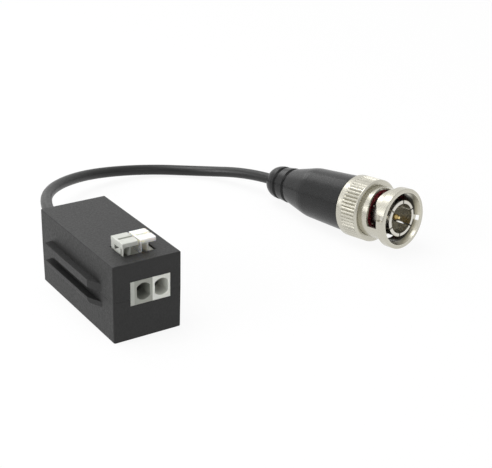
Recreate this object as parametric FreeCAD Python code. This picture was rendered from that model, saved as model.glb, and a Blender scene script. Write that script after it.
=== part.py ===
import FreeCAD, Part
import math
import os

# Housing: outside sizes, millimetres. X is the width, -Y the side with the wire entries, Z up.
WIDTH = 15.0
LENGTH = 32.9
HEIGHT = 16.6
SEAM_Z = 8.8
WALL = 1.2
ROOF = 1.2
FLOOR = 1.2
LOWER_WALL_STEP = 0.2
SIDE_DRAFT = 0.04
CORNER_R = 0.3
FOOT_CORNER_R = 0.45
FOOT_EDGE_R = 0.25
TOP_EDGE_R = 0.25
SEAM_REVEAL = 0.05
LIP_HEIGHT = 0.9
LIP_THICKNESS = 0.65
LIP_CLEARANCE = 0.06

# Interlock on the two sides: a channel on the left, a tongue on the right
RAIL_OUT = 1.5
RAIL_ROOT = 0.6
RAIL_FRONT_INSET = 8.3
RAIL_REAR_INSET = 4.95
RAIL_FRONT_RUN = 3.3
RAIL_REAR_RUN = 0.3
UPPER_RAIL_HEIGHT = 1.65
CHANNEL_BELOW_SEAM = 1.7
CHANNEL_ABOVE_SEAM = 0.55
LOWER_RAIL_HEIGHT = 1.07
RAIL_EDGE_R = 0.5
TONGUE_CLEARANCE = 0.15

# Terminal block: one pole per wire, and an end plate on the open side of the first pole
POLE_PITCH = 3.96
END_PLATE = 0.88
BEARING_SHARE = 0.6
BLOCK_LEFT_X = -3.78
NOSE_STAND = 3.85
NOSE_HEIGHT = 5.1
WINDOW_CLEARANCE = 0.05
BLOCK_HEADROOM = 0.4
BLOCK_DEPTH = 10.25
BLOCK_FRONT_GAP = 0.1
BLOCK_WALL = 0.6
BLOCK_SKIN = 0.8
DECK_DROP = 0.4
DECK_GAP = 0.1
ENTRY_WIDTH = 2.95
ENTRY_HEIGHT = 3.65
ENTRY_ARCH = 0.75
ENTRY_DEPTH = 3.4
THROAT_SHRINK = 0.35

# Levers
LEVER_INSET = -0.45
HEAD_WIDTH = 3.6
HEAD_SETBACK = 3.85
HEAD_LENGTH = 4.85
HEAD_STAND = 2.4
HEAD_THICKNESS = 0.85
HEAD_CORNER_R = 0.45
HEAD_EDGE_R = 0.15
DRIVER_SLOT_WIDTH = 0.62
DRIVER_SLOT_DEPTH = 0.5
DRIVER_SLOT_BACK = 2.55
DRIVER_SLOT_START = 0.45
BOX_WIDTH = 1.75
BOX_SETBACK = 0.05
CHEEK = 0.22
RIGHT_CHEEK = 0.2
CHEEK_RECESS = 0.1
FOOT_CLEARANCE = 0.12
SLIT = 0.45
SLIT_BACK = 0.5
GUSSET = 1.0
GUSSET_RUN = 2.0
GUSSET_DROP = 0.5
STEM_DEPTH = 1.4
PIVOT_INSET = 0.55
PIVOT_DROP = 0.1
PIVOT_R = 0.45
PIVOT_CLEARANCE = 0.05
BARREL_R = 0.75
STEM_GAP = 0.15
ARM_REACH = 2.3
ARM_DROP = 1.9
ARM_THICKNESS = 0.7
WEB = 0.6
LEVER_TRAVEL_DEG = 10.0
BOX_CLEARANCE = 0.15
OPENING_CLEARANCE = 0.2
OPENING_FRONT_CLEARANCE = 0.45

# Clamp springs and contact bars
METAL_WIDTH = 2.5
METAL_INSET = 0.45
BAR_THICKNESS = 0.6
BAR_HEIGHT = 4.2
BAR_GAP = 0.1
SPRING_THICKNESS = 0.3
SPRING_INSET = 0.35
SPRING_FOOT = 2.0
PIN_WIDTH = 0.9
PIN_GAP = 0.08
PIN_BELOW_BOARD = 0.7

# Circuit board and what stands on it
BOARD_THICKNESS = 1.0
BOARD_STANDOFF = 1.4
BOARD_SIDE_GAP = 0.3
BOARD_FRONT_GAP = 0.35
BOARD_REAR_GAP = 0.55
LEDGE_REACH = 0.6
POST_R = 1.2
POST_WALL_GAP = 0.05
POST_REAR_GAP = 0.25
POST_BOARD_GAP = 0.25
DOWEL_R = 0.6
DOWEL_CLEARANCE = 0.06
DOWEL_LENGTH = 2.2
SOCKET_LENGTH = 2.6
CORE_OUTER_R = 4.0
CORE_INNER_R = 2.2
CORE_HEIGHT = 2.6
CORE_WIRE_GAP = 1.2
WINDING_LAYER = 0.22
WINDING_RIDGE = 0.2
WINDING_ARC_DEG = 312.0
WINDING_TURNS = 14
CAPACITOR_X = -3.15
CAPACITOR_INSET = 6.25
CAPACITOR_R = 2.1
CAPACITOR_THICKNESS = 1.5
CAPACITOR_EDGE_R = 0.4
CAPACITOR_STAND = 0.5
LEAD_PITCH = 2.2
LEAD_R = 0.25
RESISTOR_X = 3.4
RESISTOR_INSET = 6.15
RESISTOR_R = 0.9
RESISTOR_LENGTH = 3.4
RESISTOR_STAND = 0.3
FIT_GAP = 0.05
OVERLAP = 0.1

# Coaxial cable
CABLE_D = 2.7
EXIT_GAP = 0.1
TAIL_LENGTH = 5.4
BRAID_D = 1.9
BRAID_LENGTH = 1.6
CORE_WIRE_D = 0.5
CORE_WIRE_LENGTH = 0.8
TIE_WIDTH = 1.1
TIE_WALL_GAP = 0.15
TIE_THICKNESS = 0.6
TIE_HEAD = 1.5

# BNC plug: S runs backwards from its mouth, all radii about its own axis
MOUTH_X = 68.41
MOUTH_Y = -12.21
HEADING_DEG = -80.69
PITCH_DEG = 4.8
FLOOR_GAP = 0.1
FLANGE_R = 7.05
FLANGE_END_S = 2.2
FLANGE_CHAMFER = 0.15
MOUTH_R = 6.15
MOUTH_TAPER_S = 1.6
BORE_R = 5.55
BARREL_R_NUT = 6.1
RELIEF_R = 5.95
RELIEF_S = 7.3
DRUM_S = 8.0
DRUM_R = 7.35
DRUM_FACE_R = 7.0
DRUM_CHAMFER = 0.35
KNURL_START_S = 8.6
KNURL_END_S = 12.8
DRUM_END_S = 14.1
NUT_END_S = 14.4
NUT_END_R = 6.9
RIBS = 52
RIB_DEPTH = 0.28
RIB_RUNOUT = 0.45
NUT_RECESS_R = 5.4
CAM_START_DEG = 195.0
ENTRY_GROOVE_DEG = 167.0
ENTRY_GROOVE_HALF_DEG = 6.0
ENTRY_GROOVE_R = 5.85
ENTRY_WINDOW_START_S = 0.3
ENTRY_WINDOW_END_S = 2.0
NUT_FLOAT = 0.5
RUNNING_GAP = 0.05
COLLAR_R = 5.3
COLLAR_START_S = 8.3
COLLAR_END_S = 9.4
SHANK_R = 4.45
WAVE_THICKNESS = 0.25
WAVE_RISE = 0.25
WAVES = 3
WAVE_PAD_SHARE = 0.3
THRUST_THICKNESS = 0.4
WASHER_R = 5.2
NUT_FLANGE_THICKNESS = 1.0
RING_THICKNESS = 0.5
RING_GROOVE_R = 3.9
RING_R = 5.0
RING_GAP_DEG = 24.0
RING_GAP_START_DEG = 250.0
LAND_LENGTH = 0.35
TUBE_R = 2.3
TUBE_LENGTH = 6.3
CONTACT_R = 4.25
CONTACT_WALL = 0.75
CONTACT_FRONT_S = 0.47
CONTACT_SEAT_S = 9.1
CONTACT_STEP_S = 7.2
CONTACT_SEAT_R = 4.0
CONTACT_LIP_CHAMFER = 0.12
SLIT_WIDTH = 0.34
SLIT_END_S = 6.0
SLITS = 6
SLIT_PHASE_DEG = 21.0
INSULATOR_FRONT_S = 5.4
INSULATOR_END_S = 11.5
PIN_R = 0.675
PIN_SHANK_R = 0.5
PIN_TIP_S = 1.2
PIN_TIP_R = 0.3
PIN_TAPER = 0.8
PIN_END_S = 12.6
GASKET_LENGTH = 1.0
GASKET_R = 5.25
SEAT_GAP = 0.02
FERRULE_R = 3.0
FERRULE_START_GAP = 1.8
FERRULE_TAIL = 3.4

# Strain boot: sleeve, cone, two ring grooves and a rounded tail
BOOT_GAP = 0.2
BOOT_R = 6.8
BOOT_CREASE_R = 6.12
BOOT_SPIGOT_R = 5.2
BOOT_CREASE_S = 27.9
BOOT_CREASE_BLEND = 0.8
BOOT_CREASE_ROUND = 0.05
BOOT_EDGE = 0.2
BOOT_CONE_END_S = 34.8
BOOT_NECK_R = 4.4
BOOT_TAIL_R = 4.15
BOOT_TAIL = 3.6
BOOT_TAIL_STEPS = 7
BOOT_GROOVE_DEPTH = 0.42
BOOT_GROOVE_WIDTH = 1.0
BOOT_GROOVE_PITCH = 3.2
BOOT_LIP = 0.35
BOOT_END_S = 42.7

# Centre line of the cable between the housing and the boot, corners rounded by tangent arcs
CABLE_FIRST_RUN = 8.2
CABLE_CORNERS = [
    (1.4, 34.0, 8.3),
    (6.2, 45.0, 7.2),
    (14.8, 53.7, 5.6),
    (26.5, 59.8, 3.5),
    (41.5, 59.9, 1.65),
    (53.5, 52.0, 1.45),
]
LAST_CORNER_BACK = 9.0
ARC_SHARE = 0.45

# Derived sizes
HALF_W = WIDTH / 2.0
HALF_L = LENGTH / 2.0
FRONT_Y = -HALF_L
REAR_Y = HALF_L
INNER_W = HALF_W - WALL
INNER_L = HALF_L - WALL
LOWER_INNER_W = INNER_W - LOWER_WALL_STEP
LOWER_INNER_L = INNER_L - LOWER_WALL_STEP
LIP_OUT_W = LOWER_INNER_W + LIP_THICKNESS
LIP_OUT_L = LOWER_INNER_L + LIP_THICKNESS
ROOF_Z = HEIGHT - ROOF
RAIL_FRONT_Y = FRONT_Y + RAIL_FRONT_INSET
RAIL_REAR_Y = REAR_Y - RAIL_REAR_INSET
CHANNEL_BOTTOM_Z = SEAM_Z - CHANNEL_BELOW_SEAM
CHANNEL_TOP_Z = SEAM_Z + CHANNEL_ABOVE_SEAM
BOARD_Z = FLOOR + BOARD_STANDOFF
BOARD_TOP_Z = BOARD_Z + BOARD_THICKNESS
BOARD_WIDTH = 2.0 * (LOWER_INNER_W - BOARD_SIDE_GAP)
BOARD_FRONT_Y = BOARD_FRONT_GAP - LOWER_INNER_L
BOARD_REAR_Y = LOWER_INNER_L - BOARD_REAR_GAP
BLOCK_FRONT_Y = BLOCK_FRONT_GAP - LOWER_INNER_L
BLOCK_REAR_Y = FRONT_Y + BLOCK_DEPTH
BLOCK_TOP_Z = ROOF_Z - BLOCK_HEADROOM
DECK_TOP_Z = HEIGHT - DECK_DROP
NOSE_BOTTOM_Z = BOARD_TOP_Z + NOSE_STAND
NOSE_TOP_Z = NOSE_BOTTOM_Z + NOSE_HEIGHT
ENTRY_Z = NOSE_BOTTOM_Z + 0.51 * NOSE_HEIGHT
BAR_TOP_Z = BOARD_TOP_Z + BAR_HEIGHT
BAR_REAR_Y = BLOCK_REAR_Y - BLOCK_WALL - BAR_GAP
POST_X = LOWER_INNER_W - POST_R - POST_WALL_GAP
POST_FRONT_Y = BLOCK_REAR_Y + 1.5 * POST_R
POST_REAR_Y = LOWER_INNER_L - POST_R - POST_REAR_GAP
JACKET_END_Y = REAR_Y - TAIL_LENGTH
BRAID_END_Y = JACKET_END_Y - BRAID_LENGTH
WIRE_END_Y = BRAID_END_Y - CORE_WIRE_LENGTH
WINDING_OUT = FIT_GAP + WINDING_LAYER + WINDING_RIDGE
CORE_Y = WIRE_END_Y - CORE_WIRE_GAP - CORE_OUTER_R - WINDING_OUT
GREY_X = BLOCK_LEFT_X + END_PLATE
WHITE_X = GREY_X + POLE_PITCH
BLOCK_RIGHT_X = WHITE_X + POLE_PITCH
GREY_LEVER_X = GREY_X + LEVER_INSET
WHITE_LEVER_X = WHITE_X + LEVER_INSET
HEAD_FRONT_Y = FRONT_Y + HEAD_SETBACK
HEAD_REAR_Y = HEAD_FRONT_Y + HEAD_LENGTH
HEAD_TOP_Z = HEIGHT + HEAD_STAND
HEAD_UNDER_Z = HEAD_TOP_Z - HEAD_THICKNESS
DRIVER_SLOT_Y = HEAD_FRONT_Y + DRIVER_SLOT_BACK
PIVOT_Y = HEAD_REAR_Y - PIVOT_INSET
PIVOT_Z = BLOCK_TOP_Z - PIVOT_DROP
LEVER_DROP = (PIVOT_Y - HEAD_FRONT_Y) * math.sin(math.radians(LEVER_TRAVEL_DEG))
CHEEK_FOOT_Z = BLOCK_TOP_Z + LEVER_DROP + FOOT_CLEARANCE
OPENING_LEFT_X = GREY_LEVER_X - OPENING_CLEARANCE
OPENING_RIGHT_X = OPENING_LEFT_X + POLE_PITCH + HEAD_WIDTH - OPENING_CLEARANCE
OPENING_FRONT_Y = HEAD_FRONT_Y - OPENING_FRONT_CLEARANCE
STEM_REAR_Y = HEAD_REAR_Y + 0.1
OPENING_REAR_Y = STEM_REAR_Y + OPENING_CLEARANCE
WAVE_START_S = COLLAR_END_S
WAVE_END_S = WAVE_START_S + WAVE_THICKNESS + WAVE_RISE
THRUST_S = WAVE_END_S + RUNNING_GAP + NUT_FLOAT
THRUST_END_S = THRUST_S + THRUST_THICKNESS
NUT_FLANGE_S = THRUST_END_S + RUNNING_GAP
NUT_FLANGE_END_S = NUT_FLANGE_S + NUT_FLANGE_THICKNESS
RING_S = NUT_FLANGE_END_S + RUNNING_GAP
RING_END_S = RING_S + RING_THICKNESS
LAND_END_S = RING_END_S + LAND_LENGTH
TUBE_END_S = LAND_END_S + TUBE_LENGTH
FERRULE_S = LAND_END_S + FERRULE_START_GAP
FERRULE_END_S = TUBE_END_S + FERRULE_TAIL
CONTACT_BORE_R = CONTACT_R - CONTACT_WALL
BOOT_FACE_S = NUT_END_S + BOOT_GAP
CABLE_R = CABLE_D / 2.0

# The plug lies on the rear edge of its drum
MOUTH_Z = (
    FLOOR_GAP
    + DRUM_R * math.cos(math.radians(PITCH_DEG))
    + DRUM_END_S * math.sin(math.radians(PITCH_DEG))
)


def vec(x, y, z):
    return FreeCAD.Vector(x, y, z)


def box(x0, x1, y0, y1, z0, z1):
    return Part.makeBox(x1 - x0, y1 - y0, z1 - z0, vec(x0, y0, z0))


def rod_x(x0, x1, y, z, r):
    return Part.makeCylinder(r, x1 - x0, vec(x0, y, z), vec(1, 0, 0))


def rod_y(y0, y1, x, z, r):
    return Part.makeCylinder(r, y1 - y0, vec(x, y0, z), vec(0, 1, 0))


def rod_z(z0, z1, x, y, r):
    return Part.makeCylinder(r, z1 - z0, vec(x, y, z0), vec(0, 0, 1))


def fuse(shapes):
    first = shapes[0]
    if len(shapes) == 1:
        return first
    return first.multiFuse(shapes[1:]).removeSplitter()


def prism(points, direction):
    corners = [vec(*p) for p in points]
    face = Part.Face(Part.makePolygon(corners + [corners[0]]))
    return face.extrude(vec(*direction))


def rounded_outline(half_w, half_l, z, r):
    # a rectangle with round corners, as one closed wire at height z
    c = r * (1.0 - math.sqrt(0.5))
    edges = []
    ring = [(1, 1), (-1, 1), (-1, -1), (1, -1)]
    for i, (sx, sy) in enumerate(ring):
        tx, ty = ring[(i + 1) % 4]
        side = vec(sx * half_w, sy * (half_l - r), z)
        cap = vec(sx * (half_w - r), sy * half_l, z)
        mid = vec(sx * (half_w - c), sy * (half_l - c), z)
        along_y = sx == tx
        start, end = (side, cap) if sx * sy > 0 else (cap, side)
        edges.append(Part.Arc(start, mid, end).toShape())
        if along_y:
            edges.append(Part.makeLine(end, vec(tx * half_w, ty * (half_l - r), z)))
        else:
            edges.append(Part.makeLine(end, vec(tx * (half_w - r), ty * half_l, z)))
    return Part.Wire(Part.__sortEdges__(edges))


def rounded_block(half_w, half_l, z0, z1, r):
    return Part.Face(rounded_outline(half_w, half_l, z0, r)).extrude(vec(0, 0, z1 - z0))


def edges_where(shape, test):
    found = []
    for edge in shape.Edges:
        if test(edge.BoundBox):
            found.append(edge)
    return found


def flat_at(z):
    return lambda b: abs(b.ZMin - z) < 1e-4 and abs(b.ZMax - z) < 1e-4


# Side interlock
def rail(side, reach, z0, z1, inset):
    wall_x = side * HALF_W
    inner_x = side * (HALF_W - RAIL_ROOT)
    outer_x = side * (HALF_W + reach)
    front = RAIL_FRONT_Y + inset
    rear = RAIL_REAR_Y - inset
    outline = [
        (inner_x, front - RAIL_FRONT_RUN, z0),
        (wall_x, front - RAIL_FRONT_RUN, z0),
        (outer_x, front, z0),
        (outer_x, rear, z0),
        (wall_x, rear + RAIL_REAR_RUN, z0),
        (inner_x, rear + RAIL_REAR_RUN, z0),
    ]
    return prism(outline, (0, 0, z1 - z0))


def lower_rail():
    shape = rail(-1, RAIL_OUT, CHANNEL_BOTTOM_Z - LOWER_RAIL_HEIGHT, CHANNEL_BOTTOM_Z, 0.0)
    outer = -(HALF_W + RAIL_OUT)
    bottom = CHANNEL_BOTTOM_Z - LOWER_RAIL_HEIGHT
    edges = edges_where(
        shape, lambda b: abs(b.XMax - outer) < 1e-4 and abs(b.ZMax - bottom) < 1e-4
    )
    return shape.makeFillet(RAIL_EDGE_R, edges)


# Housing
def window_cut():
    return box(
        BLOCK_LEFT_X - WINDOW_CLEARANCE,
        BLOCK_RIGHT_X + WINDOW_CLEARANCE,
        FRONT_Y - 1.0,
        BLOCK_FRONT_Y,
        NOSE_BOTTOM_Z - WINDOW_CLEARANCE,
        NOSE_TOP_Z + WINDOW_CLEARANCE,
    )


def exit_cut():
    return rod_y(LOWER_INNER_L - 1.0, REAR_Y + 1.0, 0.0, SEAM_Z, CABLE_R + EXIT_GAP)


def post_places():
    return [
        (-POST_X, POST_FRONT_Y),
        (POST_X, POST_FRONT_Y),
        (-POST_X, POST_REAR_Y),
        (POST_X, POST_REAR_Y),
    ]


def lower_shell():
    foot = rounded_outline(HALF_W - SIDE_DRAFT, HALF_L - SIDE_DRAFT, 0.0, FOOT_CORNER_R)
    top = rounded_outline(HALF_W, HALF_L, SEAM_Z, CORNER_R)
    shell = Part.makeLoft([foot, top], True, True)
    shell = shell.makeFillet(FOOT_EDGE_R, edges_where(shell, flat_at(0.0)))
    cavity = rounded_block(LOWER_INNER_W, LOWER_INNER_L, FLOOR, SEAM_Z + 1.0, CORNER_R)
    lip = rounded_block(LIP_OUT_W, LIP_OUT_L, SEAM_Z - 0.5, SEAM_Z + LIP_HEIGHT, CORNER_R)
    return shell.fuse(lip).cut(cavity)


def board_ledges():
    ledges = []
    inner = BOARD_WIDTH / 2.0 - LEDGE_REACH
    y0 = BOARD_FRONT_Y + LEDGE_REACH
    y1 = BOARD_REAR_Y - LEDGE_REACH
    for side in (-1, 1):
        x0, x1 = sorted((side * inner, side * (LOWER_INNER_W + OVERLAP)))
        ledges.append(box(x0, x1, y0, y1, FLOOR - OVERLAP, BOARD_Z))
    return ledges


def lower_housing():
    post_top = SEAM_Z - DOWEL_CLEARANCE
    posts = [rod_z(FLOOR - OVERLAP, post_top, x, y, POST_R) for x, y in post_places()]
    sockets = [
        rod_z(SEAM_Z - SOCKET_LENGTH, SEAM_Z, x, y, DOWEL_R + DOWEL_CLEARANCE)
        for x, y in post_places()
    ]
    tongue = rail(
        1, RAIL_OUT - TONGUE_CLEARANCE, CHANNEL_BOTTOM_Z + TONGUE_CLEARANCE, SEAM_Z, TONGUE_CLEARANCE
    )
    body = fuse([lower_shell(), lower_rail(), tongue] + board_ledges() + posts)
    return body.cut(Part.makeCompound(sockets + [window_cut(), exit_cut()]))


def upper_shell():
    shell = rounded_block(HALF_W, HALF_L, SEAM_Z, HEIGHT, CORNER_R)
    shell = shell.makeFillet(TOP_EDGE_R, edges_where(shell, flat_at(HEIGHT)))
    cavity = rounded_block(INNER_W, INNER_L, SEAM_Z - 1.0, ROOF_Z, CORNER_R)
    rabbet = rounded_block(
        LIP_OUT_W + LIP_CLEARANCE,
        LIP_OUT_L + LIP_CLEARANCE,
        SEAM_Z - 1.0,
        SEAM_Z + LIP_HEIGHT + LIP_CLEARANCE,
        CORNER_R,
    )
    outer_ring = rounded_block(HALF_W + 1.0, HALF_L + 1.0, SEAM_Z - 0.1, SEAM_Z + SEAM_REVEAL, CORNER_R)
    inner_ring = rounded_block(
        HALF_W - SEAM_REVEAL, HALF_L - SEAM_REVEAL, SEAM_Z - 0.2, SEAM_Z + SEAM_REVEAL + 0.1, CORNER_R
    )
    return shell.cut(Part.makeCompound([cavity])).cut(rabbet).cut(outer_ring.cut(inner_ring))


def upper_housing():
    pins = []
    for x, y in post_places():
        pins.append(rod_z(SEAM_Z, ROOF_Z + OVERLAP, x, y, POST_R))
        pins.append(rod_z(SEAM_Z - DOWEL_LENGTH, SEAM_Z + OVERLAP, x, y, DOWEL_R))
    top_rail = rail(-1, RAIL_OUT, CHANNEL_TOP_Z, CHANNEL_TOP_Z + UPPER_RAIL_HEIGHT, 0.0)
    tongue = rail(
        1, RAIL_OUT - TONGUE_CLEARANCE, SEAM_Z, CHANNEL_TOP_Z - TONGUE_CLEARANCE, TONGUE_CLEARANCE
    )
    clear = box(HALF_W - WALL, HALF_W - SEAM_REVEAL, -HALF_L, HALF_L, SEAM_Z - 0.1, SEAM_Z + 1.0)
    tongue = tongue.cut(clear)
    opening = box(
        OPENING_LEFT_X, OPENING_RIGHT_X, OPENING_FRONT_Y, OPENING_REAR_Y, ROOF_Z - 1.0, HEIGHT + 1.0
    )
    body = fuse([upper_shell(), top_rail, tongue] + pins)
    return body.cut(Part.makeCompound([window_cut(), exit_cut(), opening]))


# Terminal block
def entry_face(x, y, shrink):
    half_w = ENTRY_WIDTH / 2.0 - shrink
    half_h = ENTRY_HEIGHT / 2.0 - shrink
    flat_h = half_h - ENTRY_ARCH * half_w / (ENTRY_WIDTH / 2.0)
    top = Part.Arc(
        vec(x - half_w, y, ENTRY_Z + flat_h), vec(x, y, ENTRY_Z + half_h), vec(x + half_w, y, ENTRY_Z + flat_h)
    ).toShape()
    bottom = Part.Arc(
        vec(x + half_w, y, ENTRY_Z - flat_h), vec(x, y, ENTRY_Z - half_h), vec(x - half_w, y, ENTRY_Z - flat_h)
    ).toShape()
    right = Part.makeLine(vec(x + half_w, y, ENTRY_Z + flat_h), vec(x + half_w, y, ENTRY_Z - flat_h))
    left = Part.makeLine(vec(x - half_w, y, ENTRY_Z - flat_h), vec(x - half_w, y, ENTRY_Z + flat_h))
    return Part.Wire([top, right, bottom, left])


def entry_cut(x):
    outer = entry_face(x, FRONT_Y - 0.001, 0.0)
    inner = entry_face(x, FRONT_Y + ENTRY_DEPTH, THROAT_SHRINK)
    return Part.makeLoft([outer, inner], True, True)


# A slice of the block between two X planes: its body, its nose in the window of the front wall,
# and its deck, which fills the opening in the roof beside the levers
def block_slab(x0, x1):
    slab = box(x0, x1, BLOCK_FRONT_Y, BLOCK_REAR_Y, BOARD_TOP_Z, BLOCK_TOP_Z)
    nose = box(x0, x1, FRONT_Y, BLOCK_FRONT_Y + OVERLAP, NOSE_BOTTOM_Z, NOSE_TOP_Z)
    deck = box(
        max(x0, OPENING_LEFT_X + DECK_GAP),
        min(x1, OPENING_RIGHT_X - DECK_GAP),
        OPENING_FRONT_Y + DECK_GAP,
        OPENING_REAR_Y - DECK_GAP,
        BLOCK_TOP_Z - OVERLAP,
        DECK_TOP_Z,
    )
    return fuse([slab, nose, deck])


def lever_well(lever_x):
    # room in the deck for one lever's box, open at the front and at the rear
    return box(
        lever_x + CHEEK_RECESS - BOX_CLEARANCE,
        lever_x + BOX_WIDTH + BOX_CLEARANCE,
        OPENING_FRONT_Y,
        OPENING_REAR_Y,
        BLOCK_TOP_Z,
        HEIGHT,
    )


def pivot_hole(x0, x1):
    return rod_x(x0, x1, PIVOT_Y, PIVOT_Z, PIVOT_R + PIVOT_CLEARANCE)


# The left end of a pivot rests in the slice before its own: a half bearing, open at the top
def bearing_cuts(slice_end):
    x0 = slice_end - BEARING_SHARE * END_PLATE
    x1 = slice_end + OVERLAP
    reach = PIVOT_R + PIVOT_CLEARANCE
    entry = box(x0, x1, PIVOT_Y - reach, PIVOT_Y + reach, PIVOT_Z, HEIGHT)
    return [pivot_hole(x0, x1), entry]


def terminal_end_plate():
    plate = block_slab(BLOCK_LEFT_X, GREY_X)
    return plate.cut(Part.makeCompound(bearing_cuts(GREY_X) + [lever_well(GREY_LEVER_X)]))


def terminal_body(x0):
    x1 = x0 + POLE_PITCH
    own_lever = x0 + LEVER_INSET
    web_x0 = own_lever + BOX_WIDTH + STEM_GAP
    inner_rear = BLOCK_REAR_Y - BLOCK_WALL
    metal_x0 = x0 + METAL_INSET
    cavity = box(
        x0 - OVERLAP,
        x1 - BLOCK_WALL,
        FRONT_Y + ENTRY_DEPTH - 0.01,
        inner_rear,
        BOARD_TOP_Z + BLOCK_SKIN,
        BLOCK_TOP_Z - BLOCK_SKIN,
    )
    lever_slot = box(
        x0 - OVERLAP,
        web_x0,
        PIVOT_Y - 1.4 * ARM_REACH,
        PIVOT_Y + 1.4 * BARREL_R,
        BLOCK_TOP_Z - 1.6 * BLOCK_SKIN,
        HEIGHT,
    )
    pin_slot = box(
        metal_x0 - BAR_GAP,
        metal_x0 + METAL_WIDTH + BAR_GAP,
        BAR_REAR_Y - 1.5 * BAR_THICKNESS,
        inner_rear,
        BOARD_Z,
        BOARD_TOP_Z + 1.5 * BLOCK_SKIN,
    )
    web = box(
        web_x0,
        web_x0 + WEB,
        PIVOT_Y - 2.9 * PIVOT_R,
        inner_rear + OVERLAP,
        PIVOT_Z - 4.2 * PIVOT_R,
        BLOCK_TOP_Z - OVERLAP,
    )
    wells = [lever_well(own_lever)]
    if x1 < WHITE_X + OVERLAP:
        wells.append(lever_well(own_lever + POLE_PITCH))
    body = block_slab(x0, x1).cut(Part.makeCompound([cavity, lever_slot, pin_slot] + wells))
    body = body.fuse(web).removeSplitter()
    holes = [entry_cut(x0 + POLE_PITCH / 2.0), pivot_hole(web_x0 - OVERLAP, web_x0 + 0.8 * WEB)]
    return body.cut(Part.makeCompound(holes + bearing_cuts(x1)))


# Levers
def lever_head(x0):
    right = x0 + HEAD_WIDTH
    plate = box(x0, right, HEAD_FRONT_Y, HEAD_REAR_Y, HEAD_UNDER_Z, HEAD_TOP_Z)
    corners = edges_where(plate, lambda b: b.ZLength > HEAD_THICKNESS * 0.9 and b.XMin > right - 0.01)
    plate = plate.makeFillet(HEAD_CORNER_R, corners)
    plate = plate.makeFillet(HEAD_EDGE_R, edges_where(plate, flat_at(HEAD_TOP_Z)))
    slot = box(
        x0 + DRIVER_SLOT_START,
        right + OVERLAP,
        DRIVER_SLOT_Y - DRIVER_SLOT_WIDTH / 2.0,
        DRIVER_SLOT_Y + DRIVER_SLOT_WIDTH / 2.0,
        HEAD_TOP_Z - DRIVER_SLOT_DEPTH,
        HEAD_TOP_Z + OVERLAP,
    )
    return plate.cut(slot)


# The hollow box under the head, open at the front, with a braced window and a slit in its left cheek
def lever_box(x0):
    left = x0 + CHEEK_RECESS
    right = x0 + BOX_WIDTH
    front = HEAD_FRONT_Y + BOX_SETBACK
    stem_front = STEM_REAR_Y - STEM_DEPTH
    shell = box(left, right, front, STEM_REAR_Y, CHEEK_FOOT_Z, HEAD_UNDER_Z + OVERLAP)
    hollow = box(
        left + CHEEK, right - RIGHT_CHEEK, front - OVERLAP, stem_front, CHEEK_FOOT_Z - OVERLAP, HEAD_UNDER_Z
    )
    top = HEAD_UNDER_Z - GUSSET_DROP
    through = left - OVERLAP
    window = prism(
        [
            (through, stem_front, top),
            (through, stem_front, top - GUSSET),
            (through, stem_front - GUSSET_RUN, top),
        ],
        (CHEEK + 2.0 * OVERLAP, 0, 0),
    )
    slit_y = front + SLIT_BACK
    slit = box(
        through, left + CHEEK + OVERLAP, slit_y, slit_y + SLIT, CHEEK_FOOT_Z + SLIT, HEAD_UNDER_Z - SLIT
    )
    return shell.cut(Part.makeCompound([hollow, window, slit]))


def lever(x0):
    neck_x0 = x0 - LEVER_INSET + STEM_GAP
    neck_x1 = x0 + BOX_WIDTH
    neck = box(
        neck_x0,
        neck_x1,
        PIVOT_Y - BARREL_R,
        PIVOT_Y + 0.8 * BARREL_R,
        PIVOT_Z,
        CHEEK_FOOT_Z + OVERLAP,
    )
    barrel = rod_x(neck_x0, neck_x1, PIVOT_Y, PIVOT_Z, BARREL_R)
    pivot_x0 = x0 - LEVER_INSET - 0.8 * BEARING_SHARE * END_PLATE
    pivot = rod_x(pivot_x0, neck_x1 + STEM_GAP + 0.5 * WEB, PIVOT_Y, PIVOT_Z, PIVOT_R)
    tip_y = PIVOT_Y - ARM_REACH
    tip_z = PIVOT_Z - ARM_DROP
    arm = prism(
        [
            (neck_x0, PIVOT_Y - 0.2, PIVOT_Z + 0.4),
            (neck_x0, PIVOT_Y + 0.3, PIVOT_Z - 0.5),
            (neck_x0, tip_y + 0.3, tip_z),
            (neck_x0, tip_y - 0.1, tip_z + 0.1),
            (neck_x0, tip_y + 0.3, tip_z + ARM_THICKNESS),
        ],
        (neck_x1 - neck_x0, 0, 0),
    )
    return fuse([lever_head(x0), lever_box(x0), neck, barrel, pivot, arm])


# Strip metal, bent in the YZ plane: straight runs with round corners of the strip's own thickness
def strip(points, thickness, x0, x1):
    pieces = []
    half = thickness / 2.0
    for (y0, z0), (y1, z1) in zip(points, points[1:]):
        run = math.hypot(y1 - y0, z1 - z0)
        ny = -(z1 - z0) / run * half
        nz = (y1 - y0) / run * half
        outline = [
            (x0, y0 + ny, z0 + nz),
            (x0, y1 + ny, z1 + nz),
            (x0, y1 - ny, z1 - nz),
            (x0, y0 - ny, z0 - nz),
        ]
        pieces.append(prism(outline, (x1 - x0, 0, 0)))
    for y, z in points[1:-1]:
        pieces.append(rod_x(x0, x1, y, z, half))
    return fuse(pieces)


def contact_bar(x0):
    left = x0 + METAL_INSET
    right = left + METAL_WIDTH
    front = FRONT_Y + ENTRY_DEPTH + BAR_GAP
    mid = (left + right) / 2.0
    half = PIN_WIDTH / 2.0
    leg_y = BAR_REAR_Y - BAR_THICKNESS
    bar = box(left, right, front, BAR_REAR_Y, BAR_TOP_Z - BAR_THICKNESS, BAR_TOP_Z)
    leg = box(left, right, leg_y, BAR_REAR_Y, BOARD_TOP_Z + BAR_GAP, BAR_TOP_Z)
    pin = box(mid - half, mid + half, leg_y, BAR_REAR_Y, BOARD_Z - PIN_BELOW_BOARD, BAR_TOP_Z - BAR_GAP)
    return fuse([bar, leg, pin])


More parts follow.
